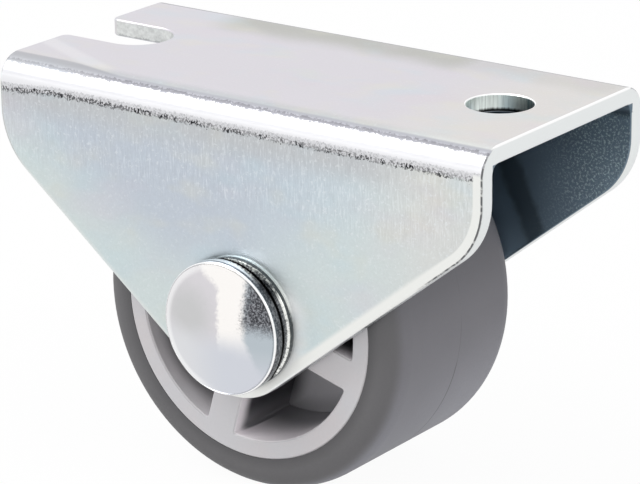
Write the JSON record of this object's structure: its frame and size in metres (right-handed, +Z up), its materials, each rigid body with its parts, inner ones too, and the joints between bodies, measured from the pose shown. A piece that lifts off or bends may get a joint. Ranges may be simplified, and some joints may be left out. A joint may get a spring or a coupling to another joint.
{
  "type": "fixed castor",
  "caption": "Small fixed castor: folded zinc-plated channel housing with a screw hole and an open screw slot, riveted axle, plastic wheel with a soft grey tyre.",
  "frame": {"origin": "centre of the top plate's upper face", "axes": "+X along the plate towards the round screw hole, +Z up out of the upper face, the axle along Y with the rivet's domed head on the -Y side"},
  "size_m": [0.048, 0.0268, 0.0335],
  "materials": {
    "zinc_sheet": "bright zinc plating, satin with a fine grain",
    "polished_steel": "bright zinc plating over a polished head",
    "turned_steel": "zinc plated, turned",
    "grey_plastic": "moulded, fine matt",
    "grey_rubber": "moulded thermoplastic rubber, matt"
  },
  "bodies": {
    "housing": {"housing": "zinc_sheet", "axle_rivet": "polished_steel", "head_washer": "turned_steel", "axle_sleeve": "turned_steel"},
    "wheel": {"wheel_core": "grey_plastic", "tyre": "grey_rubber"}
  },
  "joints": [
    {"name": "wheel_spin", "type": "hinge", "parent": "housing", "child": "wheel", "pos_m": [0, 0, -0.01855], "axis": [0, 1, 0], "continuous": true}
  ]
}
